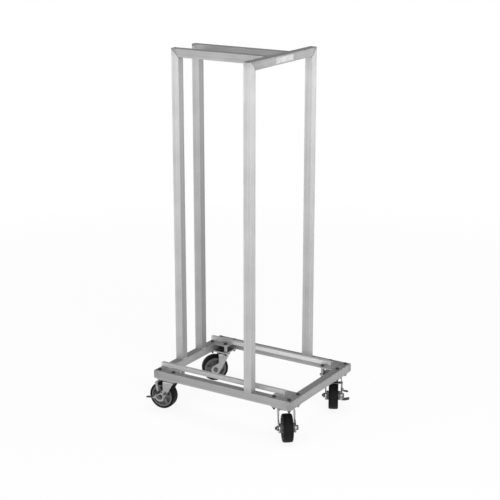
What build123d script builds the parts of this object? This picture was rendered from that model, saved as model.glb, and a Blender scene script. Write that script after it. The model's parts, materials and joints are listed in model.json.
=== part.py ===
from build123d import *
import os
from math import acos, atan2, cos, degrees, hypot, radians, sin

# Bun pan dolly: a welded square-tube frame that rolls on four swivel casters, two of them with brakes.
# X runs along the length from the closed end to the open loading end, Y across the width from the
# front side to the back, Z up. The origin is on the floor, under the middle of the base. Millimetres.

# Frame
TUBE = 38.1
TUBE_WALL = 2.4
TUBE_CORNER = 1.8
BASE_LENGTH = 724.0
BASE_WIDTH = 549.0
OVERALL_HEIGHT = 1645.0
END_POST_SPREAD = 160.0
SIDE_POST_REACH = 503.0

# Rails across the base
RAIL = 19.05
RAIL_WALL = 1.6
RAIL_CORNER = 1.2
RAIL_SPREAD = 413.0
RAIL_SETBACK = 64.0

# Corner gussets and the bolts that hold the casters
GUSSET = 76.2
GUSSET_PLATE = 4.8
GUSSET_CLIP = 14.0
BOLT = 9.525
BOLT_SPACING = 76.2
BOLT_CLEARANCE = 0.4
BOLT_HEAD_ACROSS = 14.3
BOLT_HEAD_HEIGHT = 6.0
NUT_HEIGHT = 8.0
BOLT_END = 6.0
THREAD_CLEARANCE = 0.05
SPACER_WALL = 3.0

# Caster head
CASTER_HEIGHT = 158.75
PLATE = 101.6
PLATE_THICKNESS = 6.35
PLATE_CORNER = 9.0
RACE_RADIUS = 27.0
RACE_LAND = 7.0
RACE_HEIGHT = 2.5
RACE_GAP = 2.0
BALL = 6.35
BALL_COUNT = 18
BALL_SEAT = 0.05
BALL_RUN = 0.35
KINGPIN = 16.0
KINGPIN_HEAD = 26.0
KINGPIN_HEAD_HEIGHT = 5.0
KINGPIN_NUT_HEIGHT = 6.0
END_PLAY = 0.3
RUNNING_CLEARANCE = 0.05
SEATED_CLEARANCE = 0.02

# Fork, axle and wheel
LEAD = 42.0
FORK_PLATE = 5.0
FORK_BEND = 6.0
FORK_BACK = 29.0
FORK_FRONT = 27.0
FORK_KNEE = 34.0
FORK_TIP = 22.0
SIDE_PLAY = 0.75
AXLE = 12.7
AXLE_HEAD_ACROSS = 19.05
AXLE_HEAD_HEIGHT = 11.0
AXLE_NUT_HEIGHT = 11.0
AXLE_END = 4.0
SLEEVE_WALL = 3.2
BEARING_WALL = 3.5
BEARING_INSET = 2.0
WHEEL = 127.0
TREAD_WIDTH = 44.5
TREAD_DEPTH = 11.5
TREAD_SHOULDER = 6.0
HUB_LENGTH = 65.0
HUB_BOSS = 42.0
HUB_WEB = 24.0
RIM_WIDTH = 40.0
RIM_DEPTH = 7.0
POCKET_COUNT = 6
POCKET_RIB = 12.0
POCKET_LAND = 2.5
POCKET_WALL = 5.0

# Brake lever
LEVER_PLATE = 3.2
LEVER_GAP = 0.4
LEVER_RING = 8.0
LEVER_ARM = 11.0
LEVER_PIVOT_BACK = 26.0
LEVER_PIVOT_RISE = 20.0
LEVER_PIVOT = 8.0
LEVER_PIVOT_LAND = 6.0
LEVER_PIVOT_HEAD = 14.0
LEVER_PIVOT_HEAD_HEIGHT = 3.5
LEVER_HEAD_ROOM = 1.0
PEDAL_LENGTH = 10.0
PEDAL_SPLAY = 24.0
PEDAL_TILT = 30.0
UPPER_PEDAL_ANGLE = 92.0
UPPER_PEDAL_REACH = 28.0
UPPER_PEDAL_RISE = 0.0
LOWER_PEDAL_ANGLE = -20.0
LOWER_PEDAL_RADIUS = 34.0
LOWER_PEDAL_REACH = 36.0
LOWER_PEDAL_RISE = 16.0
GRIP_START = 9.0
GRIP_WALL = 2.0
GRIP_EDGE = 1.5
GRIP_CLEARANCE = 0.05
SHOE_THICKNESS = 4.0
SHOE_GAP = 0.4
SHOE_ANGLE = 66.0
SHOE_SPREAD = 14.0
SHOE_MARGIN = 4.0
BRAKE_TRAVEL = 12.0

# Casters by corner: side along X, side along Y, heading of the trailing wheel, and whether it has a brake
CASTERS = {
    "front_left": (-1, -1, 187.0, True),
    "front_right": (1, -1, -52.0, False),
    "back_right": (1, 1, -62.0, True),
    "back_left": (-1, 1, 220.0, False),
}

# Derived places
BASE_TOP = CASTER_HEIGHT + TUBE
PLATE_BOTTOM = CASTER_HEIGHT - PLATE_THICKNESS
END_POST_X = -BASE_LENGTH / 2 + TUBE / 2
SIDE_POST_X = -BASE_LENGTH / 2 + SIDE_POST_REACH
SIDE_POST_Y = BASE_WIDTH / 2 - TUBE / 2
TOP_BAR_Z = OVERALL_HEIGHT - TUBE / 2
KINGPIN_INSET = TUBE / 2 + BOLT_SPACING / 2
KINGPIN_X = BASE_LENGTH / 2 - KINGPIN_INSET
KINGPIN_Y = BASE_WIDTH / 2 - KINGPIN_INSET
BOLT_HOLE_RADIUS = BOLT / 2 + BOLT_CLEARANCE
AXLE_Z = WHEEL / 2
FORK_GAP = HUB_LENGTH + 2 * SIDE_PLAY
LEG_FACE = FORK_GAP / 2 + FORK_PLATE
UPPER_RACE_BOTTOM = PLATE_BOTTOM - RACE_HEIGHT
LOWER_RACE_TOP = UPPER_RACE_BOTTOM - RACE_GAP
BALL_Z = (UPPER_RACE_BOTTOM + LOWER_RACE_TOP) / 2
CROWN_TOP = LOWER_RACE_TOP - RACE_HEIGHT
CROWN_BOTTOM = CROWN_TOP - FORK_PLATE
RIM_RADIUS = WHEEL / 2 - TREAD_DEPTH
SLEEVE_RADIUS = AXLE / 2 + RUNNING_CLEARANCE + SLEEVE_WALL
BEARING_BORE = SLEEVE_RADIUS + RUNNING_CLEARANCE
BEARING_RADIUS = BEARING_BORE + BEARING_WALL
HUB_BORE = BEARING_RADIUS + SEATED_CLEARANCE
LEVER_INNER = LEG_FACE + LEVER_GAP
LEVER_OUTER = LEVER_INNER + LEVER_PLATE
LEVER_PIVOT_X = LEAD - LEVER_PIVOT_BACK
LEVER_PIVOT_Z = AXLE_Z + LEVER_PIVOT_RISE
LEVER_SWING = hypot(LEVER_PIVOT_BACK, LEVER_PIVOT_RISE) * sin(radians(BRAKE_TRAVEL / 2))
LEVER_HOLE = AXLE_HEAD_ACROSS / 2 / cos(radians(30)) + LEVER_SWING + LEVER_HEAD_ROOM
LEVER_RING_RADIUS = LEVER_HOLE + LEVER_RING


def prism(points, plane, depth):
    """Solid of a polygon drawn on a plane, carried by depth to each side of it."""
    return extrude(plane * Polygon(*points, align=None), depth, both=True)


def rod_z(radius, bottom, top, x=0.0, y=0.0):
    """Upright cylinder between two heights."""
    return Pos(x, y, (bottom + top) / 2) * Cylinder(radius, top - bottom)


def rod_y(radius, near, far, x=0.0, z=0.0):
    """Cylinder along Y between two places."""
    return Pos(x, (near + far) / 2, z) * Rot(90, 0, 0) * Cylinder(radius, far - near)


def bar_y(width, near, far, thickness):
    """Flat bar along Y between two places."""
    return Pos(0, (near + far) / 2, 0) * Box(width, far - near, thickness)


def hex_z(across, bottom, top, x=0.0, y=0.0):
    """Upright hexagon prism of a given width across its flats."""
    return Pos(x, y, bottom) * extrude(RegularPolygon(across / 2, 6, major_radius=False), top - bottom)


def hex_y(across, near, far, x=0.0, z=0.0):
    """Hexagon prism along Y between two places."""
    hexagon = RegularPolygon(across / 2, 6, major_radius=False)
    return Pos(x, far, z) * Rot(90, 0, 0) * extrude(hexagon, far - near)


def square_tube(length, size, wall, corner):
    """Square tube along X, centred on its own middle."""
    section = RectangleRounded(size, size, corner) - Rectangle(size - 2 * wall, size - 2 * wall)
    return extrude(Plane.YZ * section, length / 2, both=True)


def frame_tube(length, mitres=()):
    """Frame tube along X, its long side towards -Y; mitres names the ends (-1, 1) cut at 45 degrees."""
    left = -length / 2 + (TUBE if -1 in mitres else 0.0)
    right = length / 2 - (TUBE if 1 in mitres else 0.0)
    outline = [(-length / 2, -TUBE / 2), (length / 2, -TUBE / 2), (right, TUBE / 2), (left, TUBE / 2)]
    return square_tube(length, TUBE, TUBE_WALL, TUBE_CORNER) & prism(outline, Plane.XY, TUBE)


def place(shape, origin, along, inward):
    """Moves a tube made along X so that it lies along one direction, its short side towards another."""
    normal = Vector(*along).cross(Vector(*inward))
    return Plane(origin=origin, x_dir=along, z_dir=normal) * shape


def group(shapes):
    """Several separate solids as one node."""
    return Compound(children=[solid for shape in shapes for solid in shape.solids()])


BOLT_PATTERN = [(i * BOLT_SPACING / 2, j * BOLT_SPACING / 2) for i in (-1, 1) for j in (-1, 1)]
BOLT_PLACES = [
    (side_x * (KINGPIN_X + u), side_y * (KINGPIN_Y + v))
    for side_x, side_y, _, _ in CASTERS.values()
    for u, v in BOLT_PATTERN
]
GUSSET_BOLT_PLACES = [
    (side_x * (KINGPIN_X - BOLT_SPACING / 2), side_y * (KINGPIN_Y - BOLT_SPACING / 2))
    for side_x, side_y, _, _ in CASTERS.values()
]


def drilled(shape):
    """A base piece with the caster bolt holes through it."""
    return shape - [rod_z(BOLT_HOLE_RADIUS, PLATE_BOTTOM, BASE_TOP + TUBE, x, y) for x, y in BOLT_PLACES]


def base_frame():
    """The four mitred tubes of the base."""
    mid_z = CASTER_HEIGHT + TUBE / 2
    end_x, side_y = BASE_LENGTH / 2 - TUBE / 2, BASE_WIDTH / 2 - TUBE / 2
    long_tube, short_tube = frame_tube(BASE_LENGTH, (-1, 1)), frame_tube(BASE_WIDTH, (-1, 1))
    return {
        "front_base_tube": drilled(place(long_tube, (0, -side_y, mid_z), (1, 0, 0), (0, 1, 0))),
        "back_base_tube": drilled(place(long_tube, (0, side_y, mid_z), (-1, 0, 0), (0, -1, 0))),
        "left_base_tube": drilled(place(short_tube, (-end_x, 0, mid_z), (0, -1, 0), (1, 0, 0))),
        "right_base_tube": drilled(place(short_tube, (end_x, 0, mid_z), (0, 1, 0), (-1, 0, 0))),
    }


def uprights():
    """Two posts at the closed end and one on each side, mitred at the top."""
    height = OVERALL_HEIGHT - BASE_TOP
    mid_z = BASE_TOP + height / 2
    post = frame_tube(height, (1,))
    half = END_POST_SPREAD / 2
    return {
        "left_front_post": place(post, (END_POST_X, -half, mid_z), (0, 0, 1), (1, 0, 0)),
        "left_back_post": place(post, (END_POST_X, half, mid_z), (0, 0, 1), (1, 0, 0)),
        "front_post": place(post, (SIDE_POST_X, -SIDE_POST_Y, mid_z), (0, 0, 1), (0, 1, 0)),
        "back_post": place(post, (SIDE_POST_X, SIDE_POST_Y, mid_z), (0, 0, 1), (0, -1, 0)),
    }


def top_bars():
    """The cross bar between the side posts, and the two long bars that butt against it."""
    start, stop = -BASE_LENGTH / 2, SIDE_POST_X - TUBE / 2
    long_bar, cross_bar = frame_tube(stop - start, (-1,)), frame_tube(BASE_WIDTH, (-1, 1))
    half = END_POST_SPREAD / 2
    mid_x = (start + stop) / 2
    return {
        "front_top_bar": place(long_bar, (mid_x, -half, TOP_BAR_Z), (1, 0, 0), (0, 0, -1)),
        "back_top_bar": place(long_bar, (mid_x, half, TOP_BAR_Z), (1, 0, 0), (0, 0, -1)),
        "cross_top_bar": place(cross_bar, (SIDE_POST_X, 0, TOP_BAR_Z), (0, 1, 0), (0, 0, -1)),
    }


def load_rails():
    """The two rails that take the load, open-ended tubes on the closed end's tube and on the gussets."""
    length = BASE_LENGTH - RAIL_SETBACK
    rail = square_tube(length, RAIL, RAIL_WALL, RAIL_CORNER)
    mid_x, mid_z = -RAIL_SETBACK / 2, BASE_TOP + RAIL / 2
    return {
        "front_rail": Pos(mid_x, -RAIL_SPREAD / 2, mid_z) * rail,
        "back_rail": Pos(mid_x, RAIL_SPREAD / 2, mid_z) * rail,
    }


def gusset(side_x, side_y):
    """Plate let into an inside corner of the base, level with the tube tops."""
    clipped = GUSSET - GUSSET_CLIP
    outline = [(0, 0), (GUSSET, 0), (GUSSET, clipped), (clipped, GUSSET), (0, GUSSET)]
    corner_x, corner_y = BASE_LENGTH / 2 - TUBE, BASE_WIDTH / 2 - TUBE
    points = [(side_x * (corner_x - u), side_y * (corner_y - v)) for u, v in outline]
    return drilled(Pos(0, 0, BASE_TOP - GUSSET_PLATE / 2) * prism(points, Plane.XY, GUSSET_PLATE / 2))


def caster_bolts():
    """Hexagon bolts from the tube tops down through the caster plates."""
    bottom, head_top = PLATE_BOTTOM - NUT_HEIGHT - BOLT_END, BASE_TOP + BOLT_HEAD_HEIGHT
    return group(
        hex_z(BOLT_HEAD_ACROSS, BASE_TOP, head_top, x, y) + rod_z(BOLT / 2, bottom, BASE_TOP, x, y)
        for x, y in BOLT_PLACES
    )


def caster_nuts():
    """Nuts under the caster plates."""
    bottom = PLATE_BOTTOM - NUT_HEIGHT
    return group(
        hex_z(BOLT_HEAD_ACROSS, bottom, PLATE_BOTTOM, x, y)
        - rod_z(BOLT / 2 + THREAD_CLEARANCE, bottom, PLATE_BOTTOM, x, y)
        for x, y in BOLT_PLACES
    )


def bolt_spacers():
    """Sleeves on the inner bolts, between each gusset and the caster plate."""
    bottom, top = CASTER_HEIGHT, BASE_TOP - GUSSET_PLATE
    return group(
        rod_z(BOLT_HOLE_RADIUS + SPACER_WALL, bottom, top, x, y) - rod_z(BOLT_HOLE_RADIUS, bottom, top, x, y)
        for x, y in GUSSET_BOLT_PLACES
    )


def caster_plate():
    """Top plate of a caster with its upper ball race, about the kingpin."""
    slab = extrude(RectangleRounded(PLATE, PLATE, PLATE_CORNER), PLATE_THICKNESS)
    body = Pos(0, 0, PLATE_BOTTOM) * slab + rod_z(RACE_RADIUS + RACE_LAND, UPPER_RACE_BOTTOM, PLATE_BOTTOM)
    holes = [rod_z(BOLT_HOLE_RADIUS, 0, BASE_TOP, u, v) for u, v in BOLT_PATTERN]
    pin_hole = rod_z(KINGPIN / 2 + SEATED_CLEARANCE, 0, BASE_TOP)
    return body - holes - pin_hole - Pos(0, 0, BALL_Z) * Torus(RACE_RADIUS, BALL / 2 + BALL_SEAT)


def kingpin():
    """Headed pin that ties the fork to the plate, with its nut."""
    head = rod_z(KINGPIN_HEAD / 2, CASTER_HEIGHT, CASTER_HEIGHT + KINGPIN_HEAD_HEIGHT)
    head = fillet(head.edges().group_by(Axis.Z)[-1], KINGPIN_HEAD_HEIGHT / 2)
    nut_top = CROWN_BOTTOM - END_PLAY
    nut = hex_z(KINGPIN_HEAD, nut_top - KINGPIN_NUT_HEIGHT, nut_top)
    return head + rod_z(KINGPIN / 2, nut_top - KINGPIN_NUT_HEIGHT, CASTER_HEIGHT) + nut


def race_balls():
    """Ring of balls between the two races."""
    turns = [360.0 * i / BALL_COUNT for i in range(BALL_COUNT)]
    return [Rot(0, 0, turn) * Pos(RACE_RADIUS, 0, BALL_Z) * Sphere(BALL / 2) for turn in turns]


def tangent_point(point, centre, radius, side):
    """Place where the line from a point touches a circle, on the side given by 1 or -1."""
    dx, dy = point[0] - centre[0], point[1] - centre[1]
    angle = atan2(dy, dx) + side * acos(radius / hypot(dx, dy))
    return centre[0] + radius * cos(angle), centre[1] + radius * sin(angle)


def fork(braked):
    """Swivelling fork: a bent plate with two tapered legs and the lower ball race on its crown."""
    tip_z = AXLE_Z - FORK_TIP
    height = CROWN_TOP - tip_z
    outer = Pos(0, tip_z + height / 2) * Rectangle(2 * LEG_FACE, height)
    outer = fillet(outer.vertices().group_by(Axis.Y)[-1], FORK_BEND + FORK_PLATE)
    room = CROWN_BOTTOM - tip_z
    inner = Pos(0, tip_z + room / 2) * Rectangle(FORK_GAP, room)
    inner = fillet(inner.vertices().group_by(Axis.Y)[-1], FORK_BEND)
    channel = extrude(Plane.YZ * (outer - inner), FORK_BACK + LEAD + FORK_FRONT + FORK_TIP, both=True)
    axle, back, front = (LEAD, AXLE_Z), (-FORK_BACK, CROWN_TOP), (FORK_FRONT, CROWN_TOP)
    knee = (FORK_FRONT, AXLE_Z + FORK_KNEE)
    touches = [tangent_point(knee, axle, FORK_TIP, -1), tangent_point(back, axle, FORK_TIP, 1)]
    side = Polygon(back, front, knee, *touches, align=None) + Pos(*axle) * Circle(FORK_TIP)
    body = channel & extrude(Plane.XZ * side, 2 * LEG_FACE, both=True)
    body += rod_z(RACE_RADIUS + RACE_LAND, CROWN_TOP - FORK_PLATE, LOWER_RACE_TOP)
    body -= rod_z(KINGPIN / 2 + RUNNING_CLEARANCE, tip_z, CASTER_HEIGHT)
    body -= Pos(0, 0, BALL_Z) * Torus(RACE_RADIUS, BALL / 2 + BALL_RUN)
    body -= rod_y(AXLE / 2 + SEATED_CLEARANCE, -2 * LEG_FACE, 2 * LEG_FACE, LEAD, AXLE_Z)
    if braked:
        body -= rod_y(LEVER_PIVOT / 2 + SEATED_CLEARANCE, 0, 2 * LEG_FACE, LEVER_PIVOT_X, LEVER_PIVOT_Z)
    return body


def axle_bolt():
    """Axle bolt, its head on the brake's side of the fork."""
    end = -LEG_FACE - AXLE_NUT_HEIGHT - AXLE_END
    head = hex_y(AXLE_HEAD_ACROSS, LEG_FACE, LEG_FACE + AXLE_HEAD_HEIGHT, LEAD, AXLE_Z)
    return head + rod_y(AXLE / 2, end, LEG_FACE, LEAD, AXLE_Z)


def axle_nut():
    """Lock nut on the axle bolt."""
    nut = hex_y(AXLE_HEAD_ACROSS, -LEG_FACE - AXLE_NUT_HEIGHT, -LEG_FACE, LEAD, AXLE_Z)
    return nut - rod_y(AXLE / 2 + THREAD_CLEARANCE, -2 * LEG_FACE, 0, LEAD, AXLE_Z)


def axle_sleeve():
    """Sleeve on the axle that the fork legs clamp, and that the bearing runs on."""
    outside = rod_y(SLEEVE_RADIUS, -FORK_GAP / 2, FORK_GAP / 2, LEAD, AXLE_Z)
    return outside - rod_y(AXLE / 2 + RUNNING_CLEARANCE, -FORK_GAP, FORK_GAP, LEAD, AXLE_Z)


def wheel_bearing():
    """Bearing bush in the hub."""
    half = HUB_LENGTH / 2 - BEARING_INSET
    outside = rod_y(BEARING_RADIUS, -half, half, LEAD, AXLE_Z)
    return outside - rod_y(BEARING_BORE, -HUB_LENGTH, HUB_LENGTH, LEAD, AXLE_Z)


def wheel_hub():
    """Cast hub: a long boss, a ribbed web with pockets on both sides and the rim that carries the tyre."""
    def ring(outer, inner, width):
        return rod_y(outer, -width / 2, width / 2, LEAD, AXLE_Z) - rod_y(inner, -width, width, LEAD, AXLE_Z)

    inside_rim = RIM_RADIUS - RIM_DEPTH
    body = ring(HUB_BOSS / 2, HUB_BORE, HUB_LENGTH) + ring(inside_rim, HUB_BORE, HUB_WEB)
    body += ring(RIM_RADIUS - SEATED_CLEARANCE, inside_rim, RIM_WIDTH)
    pockets = ring(inside_rim - POCKET_LAND, HUB_BOSS / 2 + POCKET_LAND, HUB_WEB)
    pockets -= rod_y(inside_rim, -POCKET_WALL / 2, POCKET_WALL / 2, LEAD, AXLE_Z)
    centre = Pos(LEAD, 0, AXLE_Z)
    for i in range(POCKET_COUNT // 2):
        pockets -= centre * Rot(0, 360.0 * i / POCKET_COUNT, 0) * Box(WHEEL, HUB_LENGTH, POCKET_RIB)
    return body - pockets


def tyre():
    """Rubber tread with round shoulders."""
    body = rod_y(WHEEL / 2, -TREAD_WIDTH / 2, TREAD_WIDTH / 2, LEAD, AXLE_Z)
    body = fillet(body.edges().filter_by(GeomType.CIRCLE), TREAD_SHOULDER)
    return body - rod_y(RIM_RADIUS, -TREAD_WIDTH, TREAD_WIDTH, LEAD, AXLE_Z)


def strap(start, end, width):
    """Strip of the lever's plate between two places beside the wheel, given along X and Z."""
    run_x, run_z = end[0] - start[0], end[1] - start[1]
    length, angle = hypot(run_x, run_z), degrees(atan2(run_z, run_x))
    mid_y = (LEVER_INNER + LEVER_OUTER) / 2
    strip = Pos(length / 2, 0, 0) * Box(length, LEVER_PLATE, width)
    return Pos(start[0], mid_y, start[1]) * Rot(0, -angle, 0) * strip


def round_axle(radius, angle):
    """Place beside the wheel at a distance from the axle and an angle above its level."""
    return LEAD + radius * cos(radians(angle)), AXLE_Z + radius * sin(radians(angle))


def pedal_seat(root, rise, tilt):
    """Place of a pedal on the lever, splayed away from the fork and tilted for the foot."""
    return Pos(root[0], LEVER_INNER, root[1]) * Rot(0, 0, -PEDAL_SPLAY) * Rot(rise, 0, 0) * Rot(0, tilt, 0)


def pedals():
    """Place and reach of the upper and the lower pedal."""
    upper = round_axle(LEVER_RING_RADIUS - LEVER_PLATE / 2, UPPER_PEDAL_ANGLE)
    lower = round_axle(LOWER_PEDAL_RADIUS, LOWER_PEDAL_ANGLE)
    return [
        (pedal_seat(upper, UPPER_PEDAL_RISE, -PEDAL_TILT), UPPER_PEDAL_REACH),
        (pedal_seat(lower, LOWER_PEDAL_RISE, PEDAL_TILT), LOWER_PEDAL_REACH),
    ]


def pedal(seat, reach):
    """Foot pedal bent out of the lever's plate."""
    tab = seat * bar_y(PEDAL_LENGTH, -PEDAL_LENGTH, reach, LEVER_PLATE)
    outside = Pos(LEAD, LEVER_INNER + WHEEL, AXLE_Z) * Box(2 * WHEEL, 2 * WHEEL, 2 * WHEEL)
    return tab & outside


def pedal_grip(seat, reach):
    """Moulded grip pushed over the end of a pedal."""
    body = bar_y(PEDAL_LENGTH + 2 * GRIP_WALL, GRIP_START, reach + GRIP_WALL, LEVER_PLATE + 2 * GRIP_WALL)
    body = fillet(body.edges(), GRIP_EDGE)
    width, thickness = PEDAL_LENGTH + 2 * GRIP_CLEARANCE, LEVER_PLATE + 2 * GRIP_CLEARANCE
    return seat * (body - bar_y(width, 0, reach + GRIP_CLEARANCE, thickness))


def lever_turned_back(shape, angle):
    """Turns a piece of the lever about its rivet, against the way that the brake is pressed."""
    pivot = Pos(LEVER_PIVOT_X, 0, LEVER_PIVOT_Z)
    return pivot * Rot(0, -angle, 0) * pivot.inverse() * shape


def brake_shoe():
    """Shoe with its arm, drawn where it bears on the tread with the brake on."""
    face, near = WHEEL / 2 + SHOE_GAP, SHOE_MARGIN - TREAD_WIDTH / 2
    ring = rod_y(face + SHOE_THICKNESS, near, LEVER_OUTER) - rod_y(face, near, LEVER_OUTER)
    far, half = 2 * WHEEL, radians(SHOE_SPREAD / 2)
    wedge = [(0, 0), (far * cos(half), -far * sin(half)), (far * cos(half), far * sin(half))]
    shoe = Pos(LEAD, 0, AXLE_Z) * Rot(0, -SHOE_ANGLE, 0) * (ring & prism(wedge, Plane.XZ, WHEEL))
    seat = round_axle(face + SHOE_THICKNESS / 2, SHOE_ANGLE)
    return shoe + strap(round_axle(LEVER_HOLE, SHOE_ANGLE), seat, LEVER_ARM)


def brake_lever():
    """Brake lever: a plate with a ring round the axle's head, two pedals, and the shoe on its arm."""
    axle, pivot = (LEAD, AXLE_Z), (LEVER_PIVOT_X, LEVER_PIVOT_Z)
    land = LEVER_PIVOT / 2 + LEVER_PIVOT_LAND
    lower_end = round_axle(LOWER_PEDAL_RADIUS + PEDAL_LENGTH / 2, LOWER_PEDAL_ANGLE)
    plate = rod_y(LEVER_RING_RADIUS, LEVER_INNER, LEVER_OUTER, *axle)
    plate += rod_y(land, LEVER_INNER, LEVER_OUTER, *pivot)
    plate += strap(pivot, axle, 2 * land) + strap(axle, lower_end, LEVER_ARM)
    plate += [pedal(seat, reach) for seat, reach in pedals()]
    plate -= rod_y(LEVER_HOLE, LEVER_INNER, LEVER_OUTER, *axle)
    body = lever_turned_back(plate, BRAKE_TRAVEL / 2) + lever_turned_back(brake_shoe(), BRAKE_TRAVEL)
    return body - rod_y(LEVER_PIVOT / 2 + RUNNING_CLEARANCE, 0, 2 * LEVER_OUTER, *pivot)


def pedal_grips():
    """Grips of both pedals, where the lever rests."""
    return [lever_turned_back(pedal_grip(seat, reach), BRAKE_TRAVEL / 2) for seat, reach in pedals()]


def lever_rivet():
    """Shoulder rivet that the lever turns on."""
    pivot, shoulder = (LEVER_PIVOT_X, LEVER_PIVOT_Z), LEVER_OUTER + LEVER_GAP
    head = rod_y(LEVER_PIVOT_HEAD / 2, shoulder, shoulder + LEVER_PIVOT_HEAD_HEIGHT, *pivot)
    return head + rod_y(LEVER_PIVOT / 2, FORK_GAP / 2, shoulder, *pivot)


def casters():
    """Nodes of the four casters: plates, forks, axles, wheels and brakes."""
    nodes, pins, balls = {}, [], []
    hub, tread, bearing = wheel_hub(), tyre(), wheel_bearing()
    for corner, (side_x, side_y, heading, braked) in CASTERS.items():
        seat = Pos(side_x * KINGPIN_X, side_y * KINGPIN_Y, 0)
        turned = seat * Rot(0, 0, heading)
        nodes[f"{corner}_caster_plate"] = seat * caster_plate()
        pins.append(seat * kingpin())
        balls += [seat * ball for ball in race_balls()]
        nodes[f"{corner}_fork"] = turned * fork(braked)
        nodes[f"{corner}_axle_bolt"] = turned * axle_bolt()
        nodes[f"{corner}_axle_nut"] = turned * axle_nut()
        nodes[f"{corner}_axle_sleeve"] = turned * axle_sleeve()
        nodes[f"{corner}_wheel_bearing"] = turned * bearing
        nodes[f"{corner}_wheel_hub"] = turned * hub
        nodes[f"{corner}_tyre"] = turned * tread
        if braked:
            nodes[f"{corner}_brake_lever"] = turned * brake_lever()
            nodes[f"{corner}_pedal_grips"] = group(turned * grip for grip in pedal_grips())
            nodes[f"{corner}_lever_rivet"] = turned * lever_rivet()
    nodes["kingpins"] = group(pins)
    nodes["swivel_balls"] = group(balls)
    return nodes


def main():
    """Makes every node and writes it to its own file."""
    nodes = {**base_frame(), **uprights(), **top_bars(), **load_rails()}
    for corner, (side_x, side_y, _, _) in CASTERS.items():
        nodes[f"{corner}_gusset"] = gusset(side_x, side_y)
    nodes["caster_bolts"] = caster_bolts()
    nodes["caster_nuts"] = caster_nuts()
    nodes["bolt_spacers"] = bolt_spacers()
    nodes.update(casters())
    os.makedirs("parts", exist_ok=True)
    for name, shape in nodes.items():
        export_step(shape, f"parts/{name}.step")
    print(len(nodes), "nodes")


if __name__ == "__main__":
    main()
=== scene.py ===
"""Dresses the bun pan dolly: a finish for every solid, turned tyres, rounded hub castings, ribbed pedal
grips, hexagon fasteners with real threads, weld beads, a blank plate on the cross bar, and a plain studio.
Metres, in the frame of the solids."""
import json
import logging
from dataclasses import dataclass, field
from enum import Enum
from math import cos, pi, radians, sin, tan
from typing import Any, NamedTuple, Sequence, Union

import bpy
import numpy as np
from mathutils import Matrix, Vector
from numpy.typing import NDArray


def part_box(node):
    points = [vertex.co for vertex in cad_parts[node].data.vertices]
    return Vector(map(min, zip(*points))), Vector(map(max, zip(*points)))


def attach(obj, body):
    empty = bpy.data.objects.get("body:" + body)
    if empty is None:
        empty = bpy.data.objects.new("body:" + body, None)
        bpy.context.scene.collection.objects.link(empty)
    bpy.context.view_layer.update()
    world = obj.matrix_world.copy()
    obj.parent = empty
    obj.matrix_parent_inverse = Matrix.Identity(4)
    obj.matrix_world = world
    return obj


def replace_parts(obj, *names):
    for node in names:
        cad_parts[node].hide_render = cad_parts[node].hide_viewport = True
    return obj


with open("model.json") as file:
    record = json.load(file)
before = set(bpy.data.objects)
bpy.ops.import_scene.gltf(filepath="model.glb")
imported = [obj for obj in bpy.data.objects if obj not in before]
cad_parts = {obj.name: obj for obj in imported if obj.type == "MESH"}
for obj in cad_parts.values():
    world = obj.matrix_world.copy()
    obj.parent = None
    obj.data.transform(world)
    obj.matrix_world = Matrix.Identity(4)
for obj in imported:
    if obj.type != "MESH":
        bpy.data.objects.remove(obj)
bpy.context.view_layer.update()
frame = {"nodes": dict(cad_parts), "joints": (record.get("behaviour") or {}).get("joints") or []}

LOG = logging.getLogger("dolly")

Array = NDArray[np.float64]
Band = tuple[float, float]
Triple = tuple[float, float, float]
Socketable = Union["Value", float, tuple]

X, Y, Z = np.eye(3)
WHITE = (1.0, 1.0, 1.0, 1.0)
# Point attribute with painted light and shade on weld beads, and wear with a painted highlight on tyres.
SHADE = "shade"
MICRON_DIGITS = 6
STOP_POSTS = ("left_front_post", "left_back_post")
SIDE_POSTS = ("front_post", "back_post")


class Grain(Enum):
    """Direction that a tube's brushing runs in."""

    X = 0
    Y = 1
    Z = 2


class Slot(Enum):
    """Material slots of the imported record."""

    ALUMINIUM = "satin_aluminium"
    ZINC = "zinc_steel"
    FASTENER = "fastener_steel"
    BEARING = "bearing_steel"
    HUB = "cast_hub"
    RUBBER = "tyre_rubber"


class Corner(Enum):
    """Corners of the base, by the names of their casters."""

    FRONT_LEFT = "front_left"
    FRONT_RIGHT = "front_right"
    BACK_RIGHT = "back_right"
    BACK_LEFT = "back_left"


# Solids of the frame


def node_points(node: str) -> Array:
    """All the vertices of a node of the frame.

    Args:
        node: Name of the node.

    Returns:
        One row of three coordinates for each vertex.
    """
    vertices = frame["nodes"][node].data.vertices
    flat = np.empty(3 * len(vertices))
    vertices.foreach_get("co", flat)
    return flat.reshape(-1, 3)


def corners_of(node: str) -> tuple[Array, Array]:
    """Lowest and highest corner of a node."""
    low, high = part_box(node)
    return np.array(low), np.array(high)


def middle_of(node: str) -> Array:
    """Middle of a node's box."""
    low, high = corners_of(node)
    return (low + high) / 2.0


def span_of(node: str) -> Array:
    """Size of a node's box along each axis."""
    low, high = corners_of(node)
    return high - low


TUBE = round(float(span_of(STOP_POSTS[0])[0]), MICRON_DIGITS)

# Shader maths

MIDDLE_BAND: Band = (0.3, 0.7)


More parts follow.
